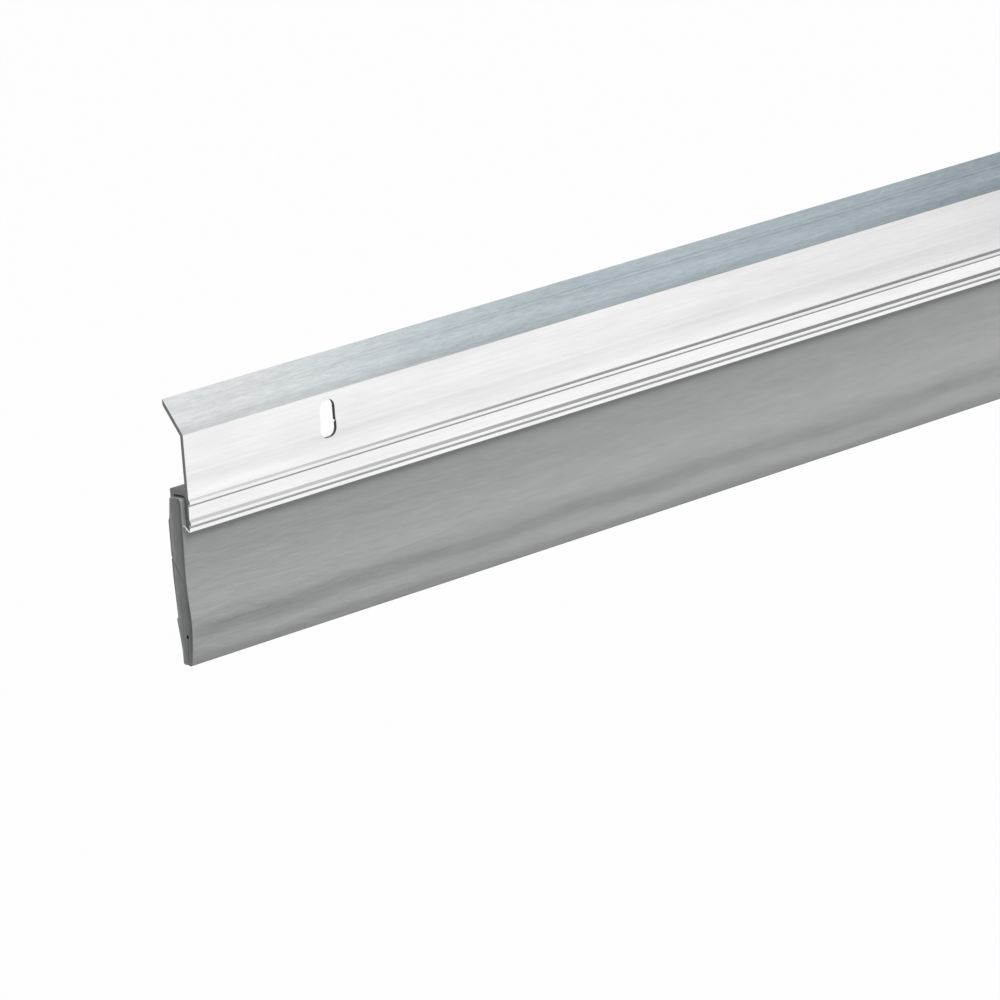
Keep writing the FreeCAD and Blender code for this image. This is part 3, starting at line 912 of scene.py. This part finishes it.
def wrinkleHollow(tree, given, position, height):  # only inwards, and none at the strip's foot
    length, tallness = given["Wrinkle Length"], given["Wrinkle Height"]
    wrinkles = unevenness(tree, position, length, tallness, given["Wrinkle Seed"], given["Wrinkle Depth"])
    hollows = addNode(tree, "ShaderNodeMath", {"operation": "MAXIMUM"}, {0: wrinkles, 1: 0})
    belowGrip = addNode(tree, "ShaderNodeMapRange", {"interpolation_type": "SMOOTHSTEP"}, {
        "Value": height, "From Min": given["Grip Level"], "From Max": given["Fold Top"],
    })
    return addNode(tree, "ShaderNodeMath", {"operation": "MULTIPLY"}, {0: hollows, 1: belowGrip})


def softness(tree, given, fromMiddle):  # how much of the hollows there is along the seal
    nearEnd = addNode(tree, "ShaderNodeMapRange", {"interpolation_type": "SMOOTHSTEP"}, {
        "Value": fromMiddle,
        "From Min": given["Flat From"],
        "From Max": given["End"],
        "To Min": 1,
        "To Max": given["Fold At End"],
    })
    farAlong = addNode(tree, "ShaderNodeMapRange", links={
        "Value": fromMiddle,
        "From Min": given["Rest From"],
        "From Max": given["End"],
        "To Min": given["Fold Rest"],
        "To Max": 1,
    })
    return addNode(tree, "ShaderNodeMath", {"operation": "MULTIPLY"}, {0: nearEnd, 1: farAlong})


def toeForward(tree, given, height, fromMiddle):  # how far the toe comes forward, away from the ends
    toeShare = addNode(tree, "ShaderNodeMapRange", {"interpolation_type": "SMOOTHSTEP"}, {
        "Value": height,
        "From Min": given["Fold Foot"],
        "From Max": given["Toe Top"],
        "To Min": given["Toe Push"],
        "To Max": 0,
    })
    awayFromEnd = addNode(tree, "ShaderNodeMapRange", links={
        "Value": fromMiddle,
        "From Min": given["Toe From"],
        "From Max": given["End"],
        "To Min": 1,
        "To Max": 0,
    })
    return addNode(tree, "ShaderNodeMath", {"operation": "MULTIPLY"}, {0: toeShare, 1: awayFromEnd})


def sealTree(tree, given):
    blade = finishMarked(tree, given, sweptBar(tree, given))
    position = tree.nodes.new("GeometryNodeInputPosition")
    place = addNode(tree, "ShaderNodeSeparateXYZ", links={"Vector": position}).outputs
    fromMiddle = lengthwise(tree, position)
    fold = foldHollow(tree, given, position, place["Z"])
    wrinkles = wrinkleHollow(tree, given, position, place["Z"])
    along = softness(tree, given, fromMiddle)
    toe = toeForward(tree, given, place["Z"], fromMiddle)
    depth = addNode(tree, "ShaderNodeMath", {"operation": "ADD"}, {0: fold, 1: wrinkles})
    inward = addNode(tree, "ShaderNodeMath", {"operation": "MULTIPLY"}, {0: depth, 1: along})
    moved = addNode(tree, "ShaderNodeMath", {"operation": "SUBTRACT"}, {0: inward, 1: toe})
    isFront = addNode(tree, "FunctionNodeCompare", {"operation": "LESS_THAN"}, {
        0: place["Y"], 1: given["Front Depth"],
    })
    folded = addNode(tree, "GeometryNodeSetPosition", links={
        "Geometry": blade,
        "Selection": isFront,
        "Offset": addNode(tree, "ShaderNodeCombineXYZ", links={"Y": moved}),
    })
    return finishEnds(tree, given, folded)


vinylSeal = growPiece("vinylSeal", outlineCurve("sealSection", sealOutline()), sealTree, {
    "Path": endToEnd("sealPath", sealLength, seal["endBevel"], seal["lengthStep"]),
    "Bend Level": bendLevel * mm,
    "Corner Points": seal["cornerPoints"],
    "Bevel": seal["endBevel"] * mm,
    "Bevel From": (sealLength - seal["endBevel"]) / 2 * mm,
    "End": sealHigh.x,
    "Fold Top": sealLow.z + seal["foldTop"] * mm,
    "Fold Foot": sealLow.z + seal["foldFoot"] * mm,
    "Fold Depth": seal["foldDepth"] * mm,
    "Fold Grain": seal["foldGrain"] * mm,
    "Fold Wander": seal["foldWander"] / 2 * mm,
    "Fold Fade": seal["foldFade"] / 2,
    "Fold Rest": seal["foldRest"],
    "Rest From": sealHigh.x - seal["foldReach"] * mm,
    "Fold At End": seal["foldAtEnd"],
    "Flat From": sealHigh.x - seal["foldEndReach"] * mm,
    "Wrinkle Depth": seal["wrinkleDepth"] / 2 * mm,
    "Wrinkle Height": seal["wrinkleHeight"] * mm,
    "Wrinkle Length": seal["wrinkleLength"] * mm,
    "Toe Push": seal["toePush"] * mm,
    "Toe Top": sealLow.z + seal["toeTop"] * mm,
    "Toe From": sealHigh.x - seal["toeReach"] * mm,
    "Grip Level": stripLow.z,
    "Front Depth": seal["frontDepth"] * mm,
    "Wander Seed": seal["wanderSeed"],
    "Fade Seed": seal["fadeSeed"],
    "Wrinkle Seed": seal["wrinkleSeed"],
    "Finish": flexiblePvc,
    "End Finish": cutPvc,
    # the split's eye gets painted shade
    "Marked Finish": eyeShadePvc,
})
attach(vinylSeal, "root")
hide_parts("vinyl_seal")
print("vinyl seal made")


# Studio: a white room, a floor well below, one large soft lamp overhead, and panels that only
# the metal mirrors

studio = {
    "ambient": 0.45,  # how strongly the white room lights things
    "floorDrop": 0.35,  # metres
    "floorSize": 120,
    "floorColour": "#949494",
    "floorGlow": 0.985,  # how much of the floor's look is plain white
    "keyPower": 24,
    "keySize": 1.1,
    "keyDirection": (0.2, -0.393, 0.898),
    "keyDistance": 1.3,
}
aim = Vector((-0.34, 0, 0))  # middle of what the camera sees
leftEnd = Vector((stripLow.x, 0, 0))
# in metres and degrees: which way the face points that mirrors the panel, and the panel's tones
# from its left to its right, beginning with the lowest row
panels = {
    "lipPanel": {
        "facing": (0, -math.cos(math.radians(strip["lipAngle"])), math.sin(math.radians(strip["lipAngle"]))),
        "distance": 0.45,
        "size": (0.4, 0.4),
        "roll": 46,
        "rows": (
            (
                (0.19, "#8d8d8d"), (0.34, "#969696"), (0.43, "#a1a1a1"), (0.5, "#bdbdbd"),
                (0.57, "#bebebe"), (0.7, "#d5d5d5"),
            ),
            (
                (0.28, "#909090"), (0.375, "#8c8c8c"), (0.46, "#888888"), (0.55, "#9d9d9d"),
                (0.62, "#c6c6c6"), (0.69, "#dadada"), (0.75, "#ececec"),
            ),
            (
                (0.25, "#a3b0b7"), (0.31, "#b2c0c7"), (0.4, "#c0ced5"), (0.5, "#c1ced5"),
                (0.6, "#cbd8de"), (0.66, "#dde6ea"), (0.73, "#edf2f4"), (0.8, "#f9fbfb"),
            ),
        ),
        "blends": ((0.24, 0.32), (0.42, 0.5)),
    },
    "webPanel": {
        "facing": (0, -1, 0),
        "distance": 0.45,
        "size": (0.8, 0.4),
        "roll": -12.4,
        "rows": (
            ((0, "#ffffff"), (1, "#ffffff")),
            (
                (0, "#a8a8a8"), (0.3, "#cfcfcf"), (0.37, "#ebebeb"), (0.46, "#f8f8f8"),
                (0.51, "#fdfdfd"), (0.56, "#f9f9f9"), (0.62, "#ffffff"),
            ),
        ),
        "blends": ((0.46, 0.53),),
    },
    "endPanel": {
        "facing": (-1, 0, 0),
        "distance": 0.4,
        "size": (0.6, 0.6),
        "roll": 0,
        "rows": (((0, "#a5a5a3"), (1, "#a5a5a3")),),
        "blends": (),
    },
    "roofPanel": {
        "facing": (0, 0, 1),
        "distance": 0.4,
        "size": (0.3, 0.16),
        "roll": 0,
        "rows": (((0, "#767674"), (1, "#767674")),),
        "blends": (),
    },
}


def backgroundRay(tree):  # 1 where the camera, a reflection or glass looks at the background
    path = addNode(tree, "ShaderNodeLightPath").outputs
    seen = path["Is Camera Ray"]
    for kind in ("Is Glossy Ray", "Is Transmission Ray"):
        seen = addNode(tree, "ShaderNodeMath", {"operation": "MAXIMUM"}, {0: seen, 1: path[kind]})
    return seen


def makeWorld():
    world = bpy.data.worlds.new("whiteRoom")
    world.use_nodes = True
    tree = world.node_tree
    tree.nodes.clear()
    strength = addNode(tree, "ShaderNodeMapRange", links={
        "Value": backgroundRay(tree), "To Min": studio["ambient"], "To Max": 1,
    })
    light = addNode(tree, "ShaderNodeBackground", links={"Color": (1, 1, 1, 1), "Strength": strength})
    addNode(tree, "ShaderNodeOutputWorld", links={"Surface": light})
    bpy.context.scene.world = world


def makeCard(name, middle, facing, size, roll, material):  # flat card that faces along a direction
    width, height = size[0] / 2, size[1] / 2
    mesh = bpy.data.meshes.new(name)
    corners = [(-width, -height, 0), (width, -height, 0), (width, height, 0), (-width, height, 0)]
    mesh.from_pydata(corners, [], [(0, 1, 2, 3)])
    for spot, place in zip(mesh.uv_layers.new(name="card").uv, ((0, 0), (1, 0), (1, 1), (0, 1))):
        spot.vector = place
    mesh.materials.append(material)
    card = newObject(name, mesh)
    card.rotation_mode = "QUATERNION"
    card.rotation_quaternion = (
        Vector(facing).to_track_quat("Z", "Y") @ Quaternion((0, 0, 1), math.radians(roll))
    )
    card.location = middle
    return card


def makeFloor():
    material, tree = newMaterial("studioFloor")
    paint = addNode(tree, "ShaderNodeBsdfDiffuse", links={"Color": linear(studio["floorColour"])})
    light = addNode(tree, "ShaderNodeEmission", links={"Color": (1, 1, 1, 1), "Strength": 1})
    glow = addNode(tree, "ShaderNodeMath", {"operation": "MULTIPLY"}, {
        0: backgroundRay(tree), 1: studio["floorGlow"],
    })
    both = addNode(tree, "ShaderNodeMixShader", links={"Fac": glow, 1: paint, 2: light})
    addNode(tree, "ShaderNodeOutputMaterial", links={"Surface": both})
    middle = (0, 0, cadLow.z - studio["floorDrop"])
    makeCard("floor", middle, (0, 0, 1), (studio["floorSize"],) * 2, 0, material)


def makePanel(name, opposite):  # stands where a face of the strip mirrors it to the camera
    values = panels[name]
    material, tree = newMaterial(name)
    spot = addNode(tree, "ShaderNodeTexCoord").outputs["UV"]
    place = addNode(tree, "ShaderNodeSeparateXYZ", links={"Vector": spot}).outputs
    rows = []
    for stops in values["rows"]:
        tones = addNode(tree, "ShaderNodeValToRGB", links={"Fac": place["X"]}, stops=stops)
        rows.append(addNode(tree, "ShaderNodeEmission", links={"Color": tones, "Strength": 1}))
    light = rows[0]
    for row, (low, high) in zip(rows[1:], values["blends"]):
        share = addNode(tree, "ShaderNodeMapRange", {"interpolation_type": "SMOOTHSTEP"}, {
            "Value": place["Y"], "From Min": low, "From Max": high,
        })
        light = addNode(tree, "ShaderNodeMixShader", links={"Fac": share, 1: light, 2: row})
    addNode(tree, "ShaderNodeOutputMaterial", links={"Surface": light})
    facing = Vector(values["facing"])
    mirrored = look - 2 * look.dot(facing) * facing
    middle = opposite + mirrored * values["distance"]
    card = makeCard(name, middle, -mirrored, values["size"], values["roll"], material)
    card.visible_camera = False
    card.visible_diffuse = False
    card.visible_transmission = False
    card.visible_shadow = False


def makeKey():
    data = bpy.data.lights.new("key", "AREA")
    data.shape = "DISK"
    data.size = studio["keySize"]
    data.energy = studio["keyPower"]
    key = newObject("key", data)
    key.location = aim + Vector(studio["keyDirection"]) * studio["keyDistance"]
    key.rotation_mode = "QUATERNION"
    key.rotation_quaternion = (aim - key.location).to_track_quat("-Z", "Y")
    key.visible_glossy = False


makeWorld()
makeFloor()
makePanel("lipPanel", aim)
makePanel("webPanel", aim)
makePanel("endPanel", leftEnd)
makePanel("roofPanel", leftEnd)
makeKey()
print("studio made")

view = bpy.context.scene.view_settings
view.view_transform = "Standard"
